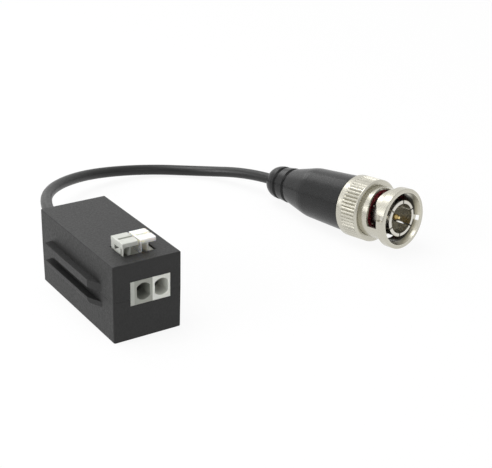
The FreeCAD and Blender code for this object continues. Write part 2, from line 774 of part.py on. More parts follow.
def clamp_spring(x0):
    left = x0 + METAL_INSET
    base_z = BAR_TOP_Z + SPRING_THICKNESS / 2.0
    rear_y = BLOCK_REAR_Y - BLOCK_WALL - SPRING_INSET
    front_y = FRONT_Y + ENTRY_DEPTH + 2.0 * SPRING_INSET
    top_z = PIVOT_Z - ARM_DROP - 3.7 * SPRING_THICKNESS
    path = [
        (rear_y - SPRING_FOOT, base_z),
        (rear_y, base_z),
        (rear_y, top_z - 0.5),
        (rear_y - 0.5, top_z),
        (rear_y - 1.6, top_z),
        (front_y, base_z + 0.2),
    ]
    return strip(path, SPRING_THICKNESS, left, left + METAL_WIDTH)


# Board and components
def post_notch(x, y):
    # the rear posts' notches run out at the rear edge as well, so that the board drops in
    reach = POST_R + POST_BOARD_GAP
    edge = math.copysign(BOARD_WIDTH / 2.0 + OVERLAP, x)
    x0, x1 = sorted((x, edge))
    y1 = BOARD_REAR_Y + OVERLAP if y > 0 else y + reach
    return box(x0, x1, y - reach, y1, BOARD_Z - OVERLAP, BOARD_TOP_Z + OVERLAP)


def circuit_board():
    half_w = BOARD_WIDTH / 2.0
    board = box(-half_w, half_w, BOARD_FRONT_Y, BOARD_REAR_Y, BOARD_Z, BOARD_TOP_Z)
    cuts = []
    for x, y in post_places():
        cuts.append(rod_z(BOARD_Z - OVERLAP, BOARD_TOP_Z + OVERLAP, x, y, POST_R + POST_BOARD_GAP))
        cuts.append(post_notch(x, y))
    for pole in (GREY_X, WHITE_X):
        mid = pole + METAL_INSET + METAL_WIDTH / 2.0
        half = PIN_WIDTH / 2.0 + PIN_GAP
        y0 = BAR_REAR_Y - BAR_THICKNESS - PIN_GAP
        y1 = BAR_REAR_Y + PIN_GAP
        cuts.append(box(mid - half, mid + half, y0, y1, BOARD_Z - OVERLAP, BOARD_TOP_Z + OVERLAP))
    return board.cut(Part.makeCompound(cuts))


def core_base_z():
    return BOARD_TOP_Z + WINDING_LAYER + FIT_GAP


def toroid_core():
    z0 = core_base_z()
    outer = rod_z(z0, z0 + CORE_HEIGHT, 0.0, CORE_Y, CORE_OUTER_R)
    inner = rod_z(z0 - 1.0, z0 + CORE_HEIGHT + 1.0, 0.0, CORE_Y, CORE_INNER_R)
    return outer.cut(inner)


def winding_section(grow, inner_grow):
    z0 = core_base_z()
    return [
        (CORE_INNER_R - grow, z0 - inner_grow),
        (CORE_OUTER_R + grow, z0 - inner_grow),
        (CORE_OUTER_R + grow, z0 + CORE_HEIGHT + grow),
        (CORE_INNER_R - grow, z0 + CORE_HEIGHT + grow),
    ]


def swept_section(section, start_deg, sweep_deg):
    corners = [vec(r, CORE_Y, z) for r, z in section]
    face = Part.Face(Part.makePolygon(corners + [corners[0]]))
    turned = face.revolve(vec(0, CORE_Y, 0), vec(0, 0, 1), sweep_deg)
    turned.rotate(vec(0, CORE_Y, 0), vec(0, 0, 1), start_deg)
    return turned


def toroid_winding():
    start = 90.0 + (360.0 - WINDING_ARC_DEG) / 2.0
    layer = WINDING_LAYER + FIT_GAP
    shapes = [swept_section(winding_section(layer, layer), start, WINDING_ARC_DEG)]
    step = WINDING_ARC_DEG / WINDING_TURNS
    for i in range(WINDING_TURNS):
        ridge = winding_section(layer + WINDING_RIDGE, layer)
        shapes.append(swept_section(ridge, start + (i + 0.2) * step, step * 0.6))
    hollow = swept_section(winding_section(FIT_GAP, FIT_GAP), 0.0, 360.0)
    return fuse(shapes).cut(hollow)


def ceramic_capacitor():
    y = REAR_Y - CAPACITOR_INSET
    z = BOARD_TOP_Z + CAPACITOR_STAND + CAPACITOR_R
    half = CAPACITOR_THICKNESS / 2.0
    disc = rod_x(CAPACITOR_X - half, CAPACITOR_X + half, y, z, CAPACITOR_R)
    shapes = [disc.makeFillet(CAPACITOR_EDGE_R, disc.Edges)]
    for side in (-0.5, 0.5):
        shapes.append(rod_z(BOARD_TOP_Z, z - 0.5 * CAPACITOR_R, CAPACITOR_X, y + side * LEAD_PITCH, LEAD_R))
    return fuse(shapes)


def film_resistor():
    y = REAR_Y - RESISTOR_INSET
    z = BOARD_TOP_Z + RESISTOR_STAND + RESISTOR_R
    half = RESISTOR_LENGTH / 2.0
    shapes = [rod_y(y - half, y + half, RESISTOR_X, z, RESISTOR_R)]
    for side in (-1, 1):
        foot = y + side * (half + 2.0 * LEAD_R)
        end = sorted((y + side * (half - OVERLAP), foot + side * LEAD_R))
        x0 = RESISTOR_X - LEAD_R
        x1 = RESISTOR_X + LEAD_R
        shapes.append(box(x0, x1, end[0], end[1], z - LEAD_R, z + LEAD_R))
        shapes.append(box(x0, x1, foot - LEAD_R, foot + LEAD_R, BOARD_TOP_Z, z + LEAD_R))
    return fuse(shapes)


# Cable inside the housing, from the outer face of the rear wall to the board
def coax_tail():
    wire_r = CORE_WIRE_D / 2.0
    jacket = rod_y(JACKET_END_Y, REAR_Y, 0.0, SEAM_Z, CABLE_R)
    braid = rod_y(BRAID_END_Y, JACKET_END_Y + OVERLAP, 0.0, SEAM_Z, BRAID_D / 2.0)
    wire = rod_y(WIRE_END_Y, BRAID_END_Y + OVERLAP, 0.0, SEAM_Z, wire_r)
    elbow = Part.makeSphere(wire_r, vec(0.0, WIRE_END_Y, SEAM_Z))
    drop = rod_z(BOARD_TOP_Z, SEAM_Z, 0.0, WIRE_END_Y, wire_r)
    screen = rod_z(BOARD_TOP_Z, SEAM_Z, 0.0, BRAID_END_Y + BRAID_LENGTH / 2.0, wire_r)
    return fuse([jacket, braid, wire, elbow, drop, screen])


def cable_tie():
    y0 = LOWER_INNER_L - TIE_WIDTH - TIE_WALL_GAP
    band = rod_y(y0, y0 + TIE_WIDTH, 0.0, SEAM_Z, CABLE_R + TIE_THICKNESS)
    head = box(
        -TIE_HEAD / 2.0,
        TIE_HEAD / 2.0,
        y0 - OVERLAP,
        y0 + TIE_WIDTH,
        SEAM_Z + CABLE_R + OVERLAP,
        SEAM_Z + CABLE_R + TIE_HEAD,
    )
    hole = rod_y(y0 - 1.0, y0 + TIE_WIDTH + 1.0, 0.0, SEAM_Z, CABLE_R + SEAT_GAP)
    return fuse([band, head]).cut(hole)


# Plug: everything is turned about the local Z axis, mouth at z = 0, the rest below it
def plug_axes():
    pitch = math.radians(PITCH_DEG)
    heading = math.radians(HEADING_DEG)
    forward = vec(
        math.cos(pitch) * math.cos(heading), math.cos(pitch) * math.sin(heading), math.sin(pitch)
    )
    side = vec(0, 0, 1).cross(forward)
    side = side.multiply(1.0 / side.Length)
    up = forward.cross(side)
    return side, up, forward


def placed(shape):
    side, up, forward = plug_axes()
    matrix = FreeCAD.Matrix(
        side.x, up.x, forward.x, MOUTH_X,
        side.y, up.y, forward.y, MOUTH_Y,
        side.z, up.z, forward.z, MOUTH_Z,
        0, 0, 0, 1,
    )
    result = shape.copy()
    result.Placement = FreeCAD.Placement(matrix)
    return result


def plug_point(s):
    forward = plug_axes()[2]
    return vec(MOUTH_X, MOUTH_Y, MOUTH_Z) - forward.multiply(s)


def turned(profile):
    corners = [vec(r, 0, -s) for r, s in profile]
    face = Part.Face(Part.makePolygon(corners + [corners[0]]))
    return face.revolve(vec(0, 0, 0), vec(0, 0, 1), 360.0)


def tube(inner, outer, s0, s1):
    return turned([(inner, s0), (outer, s0), (outer, s1), (inner, s1)])


def sector(inner, outer, s0, s1, start_deg, sweep_deg):
    corners = [vec(inner, 0, -s0), vec(outer, 0, -s0), vec(outer, 0, -s1), vec(inner, 0, -s1)]
    face = Part.Face(Part.makePolygon(corners + [corners[0]]))
    shape = face.revolve(vec(0, 0, 0), vec(0, 0, 1), sweep_deg)
    shape.rotate(vec(0, 0, 0), vec(0, 0, 1), start_deg)
    return shape


def half_turn(shape):
    copy = shape.copy()
    copy.rotate(vec(0, 0, 0), vec(0, 0, 1), 180.0)
    return copy


def knurl_bar():
    corners = []
    for i in range(RIBS):
        for share, r in ((0.0, DRUM_R), (0.3, DRUM_R), (0.65, DRUM_R - RIB_DEPTH)):
            angle = 2.0 * math.pi * (i + share) / RIBS
            corners.append(vec(r * math.cos(angle), r * math.sin(angle), -KNURL_END_S - 1.0))
    face = Part.Face(Part.makePolygon(corners + [corners[0]]))
    return face.extrude(vec(0, 0, KNURL_END_S - KNURL_START_S + 2.0))


# How far round from its start the cam slot has come, and its front and rear edges there
CAM_STATIONS = [
    (0.0, 2.95, 5.7),
    (6.0, 2.8, 5.8),
    (25.0, 2.8, 5.8),
    (36.0, 2.9, 5.8),
    (46.0, 3.45, 5.85),
    (55.0, 4.1, 5.95),
    (65.0, 4.35, 6.1),
    (77.0, 4.3, 6.2),
    (88.0, 4.15, 6.3),
    (98.0, 4.0, 6.35),
    (107.0, 4.05, 6.25),
    (111.0, 4.5, 5.8),
]


def cam_slot():
    wires = []
    inner = BORE_R - 0.8
    outer = BARREL_R_NUT + 1.0
    for run, front, rear in CAM_STATIONS:
        angle = math.radians(CAM_START_DEG - run)
        c = math.cos(angle)
        s = math.sin(angle)
        corners = [
            vec(inner * c, inner * s, -front),
            vec(outer * c, outer * s, -front),
            vec(outer * c, outer * s, -rear),
            vec(inner * c, inner * s, -rear),
        ]
        wires.append(Part.makePolygon(corners + [corners[0]]))
    return Part.makeLoft(wires, True, True)


def entry_groove():
    start = ENTRY_GROOVE_DEG - ENTRY_GROOVE_HALF_DEG
    sweep = 2.0 * ENTRY_GROOVE_HALF_DEG
    groove = sector(BORE_R - 0.8, ENTRY_GROOVE_R, -1.0, CAM_STATIONS[2][1] + 0.2, start, sweep)
    window = sector(
        BORE_R - 0.8, FLANGE_R + 1.0, ENTRY_WINDOW_START_S, ENTRY_WINDOW_END_S, start, sweep
    )
    return [groove, window]


def nut_envelope():
    c = FLANGE_CHAMFER
    return turned(
        [
            (MOUTH_R, 0.0),
            (FLANGE_R - c, 0.0),
            (FLANGE_R, c),
            (FLANGE_R, FLANGE_END_S - c),
            (FLANGE_R - c, FLANGE_END_S),
            (BARREL_R_NUT, FLANGE_END_S),
            (BARREL_R_NUT, RELIEF_S),
            (RELIEF_R, RELIEF_S),
            (RELIEF_R, DRUM_S),
            (DRUM_FACE_R, DRUM_S),
            (DRUM_R, DRUM_S + DRUM_CHAMFER),
            (DRUM_R, DRUM_END_S),
            (NUT_END_R, NUT_END_S),
            (NUT_RECESS_R, NUT_END_S),
            (NUT_RECESS_R, NUT_FLANGE_END_S),
            (SHANK_R + 2.0 * RUNNING_GAP, NUT_FLANGE_END_S),
            (SHANK_R + 2.0 * RUNNING_GAP, NUT_FLANGE_S),
            (BORE_R, NUT_FLANGE_S),
            (BORE_R, MOUTH_TAPER_S),
        ]
    )


def coupling_nut():
    # the knurl's grooves run out in a slope at both ends
    low = DRUM_R - 2.0 * RIB_DEPTH
    hull = turned(
        [
            (low, KNURL_START_S + 2.0 * RIB_RUNOUT),
            (DRUM_R, KNURL_START_S),
            (DRUM_R + RIB_DEPTH, KNURL_START_S - RIB_RUNOUT),
            (DRUM_R + RIB_DEPTH, KNURL_END_S + RIB_RUNOUT),
            (DRUM_R, KNURL_END_S),
            (low, KNURL_END_S - 2.0 * RIB_RUNOUT),
        ]
    )
    grooves = hull.cut(knurl_bar())
    slots = [cam_slot()] + entry_groove()
    slots = slots + [half_turn(shape) for shape in slots]
    nut = nut_envelope().cut(grooves)
    for shape in slots:
        nut = nut.cut(shape)
    return nut


def connector_body():
    seat = CONTACT_SEAT_R + SEAT_GAP
    return turned(
        [
            (seat, COLLAR_START_S),
            (COLLAR_R, COLLAR_START_S),
            (COLLAR_R, COLLAR_END_S),
            (SHANK_R, COLLAR_END_S),
            (SHANK_R, RING_S),
            (RING_GROOVE_R, RING_S),
            (RING_GROOVE_R, RING_END_S),
            (SHANK_R, RING_END_S),
            (SHANK_R, LAND_END_S),
            (TUBE_R, LAND_END_S),
            (TUBE_R, TUBE_END_S),
            (TUBE_R - 0.5, TUBE_END_S),
            (TUBE_R - 0.5, INSULATOR_END_S),
            (CONTACT_BORE_R, INSULATOR_END_S),
            (CONTACT_BORE_R, CONTACT_SEAT_S),
            (seat, CONTACT_SEAT_S),
        ]
    )


def outer_contact():
    shell = turned(
        [
            (CONTACT_BORE_R, CONTACT_FRONT_S),
            (CONTACT_R - CONTACT_LIP_CHAMFER, CONTACT_FRONT_S),
            (CONTACT_R, CONTACT_FRONT_S + CONTACT_LIP_CHAMFER),
            (CONTACT_R, CONTACT_STEP_S),
            (CONTACT_SEAT_R, CONTACT_STEP_S),
            (CONTACT_SEAT_R, CONTACT_SEAT_S),
            (CONTACT_BORE_R, CONTACT_SEAT_S),
        ]
    )
    half = SLIT_WIDTH / 2.0
    cuts = []
    for i in range(SLITS):
        cut = box(0.0, CONTACT_R + 1.0, -half, half, -SLIT_END_S, 0.0)
        cut.rotate(vec(0, 0, 0), vec(0, 0, 1), SLIT_PHASE_DEG + 360.0 * i / SLITS)
        cuts.append(cut)
    return shell.cut(Part.makeCompound(cuts))


def insulator():
    return tube(PIN_SHANK_R + SEAT_GAP, CONTACT_BORE_R - SEAT_GAP, INSULATOR_FRONT_S, INSULATOR_END_S)


def centre_pin():
    collar_s = INSULATOR_END_S
    return turned(
        [
            (0.0, PIN_TIP_S),
            (PIN_TIP_R, PIN_TIP_S),
            (PIN_R, PIN_TIP_S + PIN_TAPER),
            (PIN_R, INSULATOR_FRONT_S),
            (PIN_SHANK_R, INSULATOR_FRONT_S),
            (PIN_SHANK_R, collar_s),
            (PIN_R + 0.3, collar_s),
            (PIN_R + 0.3, PIN_END_S),
            (0.0, PIN_END_S),
        ]
    )


def gasket():
    return tube(CONTACT_SEAT_R + SEAT_GAP, GASKET_R, COLLAR_START_S - GASKET_LENGTH, COLLAR_START_S)


def wave_washer():
    # a flat ring with raised pads, each hollowed from the other side
    flat = tube(SHANK_R + 2.0 * RUNNING_GAP, WASHER_R, WAVE_START_S, WAVE_START_S + WAVE_THICKNESS)
    crests = []
    pitch = 360.0 / WAVES
    for i in range(WAVES):
        crests.append(
            sector(
                SHANK_R + 2.0 * RUNNING_GAP,
                WASHER_R,
                WAVE_START_S + WAVE_THICKNESS * 0.5,
                WAVE_END_S,
                i * pitch,
                pitch * WAVE_PAD_SHARE,
            )
        )
    hollows = []
    for i in range(WAVES):
        hollows.append(
            sector(
                SHANK_R - 1.0,
                WASHER_R + 1.0,
                WAVE_START_S - 1.0,
                WAVE_START_S + WAVE_RISE * 0.6,
                (i + 0.25 * WAVE_PAD_SHARE) * pitch,
                0.5 * WAVE_PAD_SHARE * pitch,
            )
        )
    return fuse([flat] + crests).cut(Part.makeCompound(hollows))


def thrust_washer():
    return tube(SHANK_R + RUNNING_GAP, WASHER_R, THRUST_S, THRUST_END_S)


def retaining_ring():
    ring = tube(RING_GROOVE_R + SEAT_GAP, RING_R, RING_S, RING_END_S)
    gap = sector(
        RING_GROOVE_R - 1.0, RING_R + 1.0, RING_S - 1.0, RING_END_S + 1.0, RING_GAP_START_DEG, RING_GAP_DEG
    )
    return ring.cut(gap)


def crimp_ferrule():
    return turned(
        [
            (TUBE_R + FIT_GAP, FERRULE_S),
            (FERRULE_R, FERRULE_S),
            (FERRULE_R, FERRULE_END_S),
            (CABLE_R + SEAT_GAP, FERRULE_END_S),
            (CABLE_R + SEAT_GAP, TUBE_END_S + FIT_GAP),
            (TUBE_R + FIT_GAP, TUBE_END_S + FIT_GAP),
        ]
    )


def coax_stub():
    return tube(0.0, CABLE_R, TUBE_END_S + FIT_GAP, BOOT_END_S)


def boot_profile():
    hole = CABLE_R + SEAT_GAP
    lip = CABLE_R + BOOT_LIP
    width = BOOT_GROOVE_WIDTH
    tail = BOOT_END_S - BOOT_TAIL
    sleeve = (BOOT_R - BOOT_CREASE_R) / (BOOT_CREASE_S - BOOT_FACE_S)
    cone = (BOOT_CREASE_R - BOOT_NECK_R) / (BOOT_CONE_END_S - BOOT_CREASE_S)
    outline = [
        (TUBE_R + FIT_GAP, LAND_END_S),
        (BOOT_SPIGOT_R, LAND_END_S),
        (BOOT_SPIGOT_R, BOOT_FACE_S),
        (BOOT_R - BOOT_EDGE, BOOT_FACE_S),
        (BOOT_R, BOOT_FACE_S + BOOT_EDGE),
        (BOOT_CREASE_R + sleeve * BOOT_CREASE_BLEND, BOOT_CREASE_S - BOOT_CREASE_BLEND),
        (BOOT_CREASE_R - BOOT_CREASE_ROUND, BOOT_CREASE_S),
        (BOOT_CREASE_R - cone * BOOT_CREASE_BLEND, BOOT_CREASE_S + BOOT_CREASE_BLEND),
    ]
    # ring grooves with flat bottoms and sloping sides
    for i, top in enumerate((BOOT_NECK_R, BOOT_TAIL_R)):
        start = BOOT_CONE_END_S + i * BOOT_GROOVE_PITCH
        bottom = top - BOOT_GROOVE_DEPTH
        outline.append((top, start))
        outline.append((bottom, start + 0.3 * width))
        outline.append((bottom, start + 0.7 * width))
        outline.append((top, start + width))
    # the tail is an ellipse in section
    for i in range(BOOT_TAIL_STEPS + 1):
        angle = 0.5 * math.pi * i / BOOT_TAIL_STEPS
        outline.append((lip + (BOOT_TAIL_R - lip) * math.cos(angle), tail + BOOT_TAIL * math.sin(angle)))
    return outline + [
        (hole, BOOT_END_S),
        (hole, FERRULE_END_S),
        (FERRULE_R + SEAT_GAP, FERRULE_END_S),
        (FERRULE_R + SEAT_GAP, FERRULE_S),
        (TUBE_R + FIT_GAP, FERRULE_S),
    ]


def strain_boot():
    return turned(boot_profile())


# Cable between the housing and the boot
def cable_corners():
    end = plug_point(BOOT_END_S)
    last = plug_point(BOOT_END_S + LAST_CORNER_BACK)
    corners = [vec(0.0, REAR_Y, SEAM_Z), vec(0.0, REAR_Y + CABLE_FIRST_RUN, SEAM_Z)]
    corners = corners + [vec(*p) for p in CABLE_CORNERS]
    return corners + [last, end]


def cable_path(corners):
    runs = [(b - a).Length for a, b in zip(corners, corners[1:])]
    edges = []
    radii = []
    cursor = corners[0]
    for i in range(1, len(corners) - 1):
        before = (corners[i] - corners[i - 1]).normalize()
        after = (corners[i + 1] - corners[i]).normalize()
        turn = before.getAngle(after)
        cut = ARC_SHARE * min(runs[i - 1], runs[i])
        radius = cut / math.tan(turn / 2.0)
        radii.append(radius)
        start = corners[i] - before * cut
        end = corners[i] + after * cut
        inward = (after - before).normalize()
        middle = corners[i] + inward * (radius / math.cos(turn / 2.0) - radius)
        edges.append(Part.LineSegment(cursor, start).toShape())
        edges.append(Part.Arc(start, middle, end).toShape())
        cursor = end
    edges.append(Part.LineSegment(cursor, corners[-1]).toShape())
    return Part.Wire(edges), radii


def coax_cable():
    corners = cable_corners()
    path, radii = cable_path(corners)
    circle = Part.makeCircle(CABLE_R, corners[0], (corners[1] - corners[0]).normalize())
    shape = path.makePipeShell([Part.Wire(circle)], True, True)
    section = math.pi * CABLE_R ** 2
    print("cable length %.2f mm, bend radii" % path.Length, ["%.1f" % r for r in radii])
    print("cable volume %.1f, section x length %.1f" % (shape.Volume, section * path.Length))
    print("cable lowest %.3f" % shape.optimalBoundingBox(False, False).ZMin)
    print("cable corners", ["(%.3f, %.3f, %.3f)" % (p.x, p.y, p.z) for p in corners])
    return shape


def all_pieces():
    pieces = {
        "lower_housing": lower_housing(),
        "upper_housing": upper_housing(),
        "terminal_end_plate": terminal_end_plate(),
        "terminal_body_grey": terminal_body(GREY_X),
        "terminal_body_white": terminal_body(WHITE_X),
        "lever_grey": lever(GREY_LEVER_X),
        "lever_white": lever(WHITE_LEVER_X),
        "contact_bar_grey": contact_bar(GREY_X),
        "contact_bar_white": contact_bar(WHITE_X),
        "clamp_spring_grey": clamp_spring(GREY_X),
        "clamp_spring_white": clamp_spring(WHITE_X),
        "circuit_board": circuit_board(),
        "toroid_core": toroid_core(),
        "toroid_winding": toroid_winding(),
        "ceramic_capacitor": ceramic_capacitor(),
        "film_resistor": film_resistor(),
        "coax_tail": coax_tail(),
        "cable_tie": cable_tie(),
        "coax_cable": coax_cable(),
    }
    plug = {
        "coupling_nut": coupling_nut(),
        "connector_body": connector_body(),
        "outer_contact": outer_contact(),
        "insulator": insulator(),
        "centre_pin": centre_pin(),
        "gasket": gasket(),
        "wave_washer": wave_washer(),
        "thrust_washer": thrust_washer(),
        "retaining_ring": retaining_ring(),
        "crimp_ferrule": crimp_ferrule(),
        "coax_stub": coax_stub(),
        "strain_boot": strain_boot(),
    }
    for name, shape in plug.items():
        pieces[name] = placed(shape)
    return pieces


def main():
    os.makedirs("parts", exist_ok=True)
    for name, shape in all_pieces().items():
        solids = len(shape.Solids)
        if solids != 1 or not shape.isValid():
            print("CHECK", name, "solids", solids, "valid", shape.isValid())
        shape.exportStep("parts/%s.step" % name)
        b = shape.BoundBox
        print("%-20s %7.2f %7.2f %7.2f %7.2f %7.2f %7.2f faces %d" % (
            name, b.XMin, b.XMax, b.YMin, b.YMax, b.ZMin, b.ZMax, len(shape.Faces)
        ))


main()
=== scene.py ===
import math

import bpy
from mathutils import Matrix, Vector


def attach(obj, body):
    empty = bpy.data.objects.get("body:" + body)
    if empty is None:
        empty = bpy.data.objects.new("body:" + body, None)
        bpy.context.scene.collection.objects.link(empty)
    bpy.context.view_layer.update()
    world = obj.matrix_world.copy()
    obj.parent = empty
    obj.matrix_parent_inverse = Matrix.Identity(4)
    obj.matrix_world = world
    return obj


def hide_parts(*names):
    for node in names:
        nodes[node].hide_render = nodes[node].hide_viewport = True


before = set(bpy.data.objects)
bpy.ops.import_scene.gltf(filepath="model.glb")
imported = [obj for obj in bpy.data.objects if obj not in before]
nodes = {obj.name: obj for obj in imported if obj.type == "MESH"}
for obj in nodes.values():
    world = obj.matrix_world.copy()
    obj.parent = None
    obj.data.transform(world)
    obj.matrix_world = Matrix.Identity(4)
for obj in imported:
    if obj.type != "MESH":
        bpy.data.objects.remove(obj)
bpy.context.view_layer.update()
scene = bpy.context.scene
scene.view_settings.view_transform = "Standard"

MM = 0.001

# The photograph's camera, from a fit to the housing and the plug: angles in degrees, place in mm
PHOTO_WIDTH_PX = 492
FOCAL_PX = 1160.13
SENSOR_MM = 36.0
CAMERA_AZIMUTH = -33.842
CAMERA_DOWN = 24.25
CAMERA_ROLL = 1.592
CAMERA_PLACE = (-96.261, -193.739, 113.016)

# The cable's route: the same points as in the part's source, in mm
CABLE_D = 2.7
CABLE_EXIT = (0.0, 16.45, 8.8)
CABLE_ROUTE = [
    CABLE_EXIT,
    (0.0, 24.65, 8.8),
    (1.4, 34.0, 8.3),
    (6.2, 45.0, 7.2),
    (14.8, 53.7, 5.6),
    (26.5, 59.8, 3.5),
    (41.5, 59.9, 1.65),
    (53.5, 52.0, 1.45),
    (60.076, 38.630, 4.278),
    (61.526, 29.780, 5.031),
]

# The middle of the plug's mouth in mm, and the plug's axis, which points out of it
PLUG_MOUTH = (68.41, -12.21, 8.604)
PLUG_AXIS = Vector((0.16120869, -0.98336655, 0.08367784))

# Where painted shade and light on the metal or on the terminals change, and where the funnel's
# roughness changes: from and to, in mm.
# Radii are from the plug's axis, and depths are behind the plane of its mouth.
BORE_EDGE_R = (5.57, 5.7)
FUNNEL_EDGE_R = (6.1, 6.3)
FUNNEL_END_DEPTH = (1.6, 1.8)
KNURL_GROOVE_R = (7.07, 7.3)
KNURL_START_DEPTH = (8.5, 8.7)
KNURL_END_DEPTH = (12.7, 12.9)
ENTRY_Y = (-16.3, -14.5)
ENTRY_TOP_Z = (12.5, 13.0)

# A noise texture keeps mostly between these two values
NOISE_RANGE = (0.3, 0.7)


def make_camera():
    azimuth, down, roll = (math.radians(a) for a in (CAMERA_AZIMUTH, CAMERA_DOWN, CAMERA_ROLL))
    right = Vector((math.cos(azimuth), math.sin(azimuth), 0.0))
    level = Vector((-math.sin(azimuth), math.cos(azimuth), 0.0))
    ahead = level * math.cos(down) - Vector((0.0, 0.0, math.sin(down)))
    up = right.cross(ahead)
    turned_right = right * math.cos(roll) + up * math.sin(roll)
    turned_up = up * math.cos(roll) - right * math.sin(roll)
    data = bpy.data.cameras.new("camera")
    data.sensor_fit = "HORIZONTAL"
    data.sensor_width = SENSOR_MM
    data.lens = FOCAL_PX * SENSOR_MM / PHOTO_WIDTH_PX
    data.clip_start = 0.01
    data.clip_end = 20.0
    camera = bpy.data.objects.new("camera", data)
    scene.collection.objects.link(camera)
    place = Matrix((turned_right, turned_up, -ahead)).transposed().to_4x4()
    place.translation = Vector(CAMERA_PLACE) * MM
    camera.matrix_world = place
    scene.camera = camera


def make_cable():
    data = bpy.data.curves.new("cable", "CURVE")
    data.dimensions = "3D"
    spline = data.splines.new("NURBS")
    spline.points.add(len(CABLE_ROUTE) - 1)
    for point, place in zip(spline.points, CABLE_ROUTE):
        point.co = (*(Vector(place) * MM), 1.0)
        point.radius = CABLE_D * MM / 2.0
    spline.order_u = 3
    spline.use_endpoint_u = True
    spline.resolution_u = 24
    # the points' radii are the cable's own, so the bevel only passes them on
    data.bevel_depth = 1.0
    data.bevel_resolution = 8
    cable = bpy.data.objects.new("cable", data)
    scene.collection.objects.link(cable)
    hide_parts("coax_cable")
    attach(cable, "housing")
    return cable


make_camera()
cable = make_cable()


# Nodes
class Tree:
    def __init__(self, tree):
        self.tree = tree

    def add(self, kind, inputs=None, **settings):
        # inputs holds a value or another node's output for each input, by its name or number
        node = self.tree.nodes.new(kind)
        for key, value in settings.items():
            setattr(node, key, value)
        for key, value in (inputs or {}).items():
            self.feed(value, node.inputs[key])
        return node

    def feed(self, value, socket):
        if isinstance(value, bpy.types.NodeSocket):
            self.tree.links.new(value, socket)
        else:
            socket.default_value = value

    def math(self, operation, a, b):
        return self.add("ShaderNodeMath", {0: a, 1: b}, operation=operation).outputs["Value"]

    def range(self, value, span, low, high):
        # low where the value is at the start of the span or before it, high from its end on
        ends = {"From Min": span[0], "From Max": span[1], "To Min": low, "To Max": high}
        return self.add("ShaderNodeMapRange", {"Value": value, **ends}).outputs["Result"]

    def range_mm(self, value, span, low, high):
        return self.range(value, [end * MM for end in span], low, high)

    def mix(self, share, first, second):
        node = self.add("ShaderNodeMixShader", {"Fac": share})
        self.feed(first.outputs[0], node.inputs[1])
        self.feed(second.outputs[0], node.inputs[2])
        return node.outputs[0]


class Mat(Tree):
    def __init__(self, name):
        self.mat = bpy.data.materials.new(name)
        self.mat.use_nodes = True
        super().__init__(self.mat.node_tree)
        self.bsdf = self.tree.nodes["Principled BSDF"]
        self.coord = self.add("ShaderNodeTexCoord").outputs["Object"]

    def set(self, **values):
        for key, value in values.items():
            self.feed(value, self.bsdf.inputs[key.replace("_", " ")])

    def noise(self, scale, detail, rough):
        inputs = {"Vector": self.coord, "Scale": scale, "Detail": detail, "Roughness": rough}
        return self.add("ShaderNodeTexNoise", inputs).outputs["Fac"]

    def between(self, noise, first, second):
        node = self.add("ShaderNodeValToRGB", {"Fac": noise})
        for element, place, colour in zip(node.color_ramp.elements, NOISE_RANGE, (first, second)):
            element.position = place
            element.color = (*colour, 1.0)
        return node.outputs["Color"]

    def dimmed(self, colour, factor):
        node = self.add("ShaderNodeVectorMath", {0: colour, "Scale": factor}, operation="SCALE")
        return node.outputs["Vector"]

    def bump(self, height, distance, normal=None):
        node = self.add("ShaderNodeBump", {"Height": height, "Strength": 1.0, "Distance": distance})
        if normal:
            self.feed(normal, node.inputs["Normal"])
        self.set(Normal=node.outputs["Normal"])
        return node.outputs["Normal"]

    # Places on the plug, in metres
    def along_plug(self):
        inputs = {0: self.coord, 1: PLUG_AXIS}
        return self.add("ShaderNodeVectorMath", inputs, operation="DOT_PRODUCT").outputs["Value"]

    def behind_mouth(self):
        front = (Vector(PLUG_MOUTH) * MM).dot(PLUG_AXIS)
        return self.math("SUBTRACT", front, self.along_plug())

    def off_plug_axis(self):
        inputs = {0: self.coord, 1: Vector(PLUG_MOUTH) * MM}
        moved = self.add("ShaderNodeVectorMath", inputs, operation="SUBTRACT")
        inputs = {0: moved.outputs["Vector"], 1: PLUG_AXIS}
        across = self.add("ShaderNodeVectorMath", inputs, operation="CROSS_PRODUCT")
        inputs = {0: across.outputs["Vector"]}
        return self.add("ShaderNodeVectorMath", inputs, operation="LENGTH").outputs["Value"]


# Painted shade and light over a piece, each as a factor for its colour, and the funnel's change of
# roughness
def in_funnel(m, amount):
    # the amount on the funnel of the nut's mouth, and 0 elsewhere
    inside = m.range_mm(m.off_plug_axis(), FUNNEL_EDGE_R, 1.0, 0.0)
    in_front = m.range_mm(m.behind_mouth(), FUNNEL_END_DEPTH, amount, 0.0)
    return m.math("MULTIPLY", inside, in_front)


def nut_painted_shade_and_light(m):
    # painted shade: the bore is much darker and the knurl's grooves a little darker; painted
    # highlight: the funnel is brighter
    radius = m.off_plug_axis()
    depth = m.behind_mouth()
    bore = m.range_mm(radius, BORE_EDGE_R, 0.12, 1.0)
    after_start = m.range_mm(depth, KNURL_START_DEPTH, 0.0, 1.0)
    before_end = m.range_mm(depth, KNURL_END_DEPTH, 1.0, 0.0)
    on_knurl = m.math("MULTIPLY", after_start, before_end)
    groove = m.math("MULTIPLY", on_knurl, m.range_mm(radius, KNURL_GROOVE_R, 0.3, 0.0))
    outside = m.math("ADD", m.math("SUBTRACT", 1.0, groove), in_funnel(m, 0.4))
    return m.math("MULTIPLY", bore, outside)


def entry_painted_shade(m):
    # painted shade: the wire entry is darker deep inside, below its top
    place = m.add("ShaderNodeSeparateXYZ", {0: m.coord})
    deep = m.range_mm(place.outputs["Y"], ENTRY_Y, 0.0, 0.36)
    low = m.range_mm(place.outputs["Z"], ENTRY_TOP_Z, 1.0, 0.0)
    return m.math("SUBTRACT", 1.0, m.math("MULTIPLY", deep, low))


def funnel_roughness(m, rough):
    return m.math("ADD", rough, in_funnel(m, 0.06))


# Materials: colours are linear, lengths in metres, and grain is the scale of the fine noise
def shade(colour, factor):
    return tuple(c * factor for c in colour)


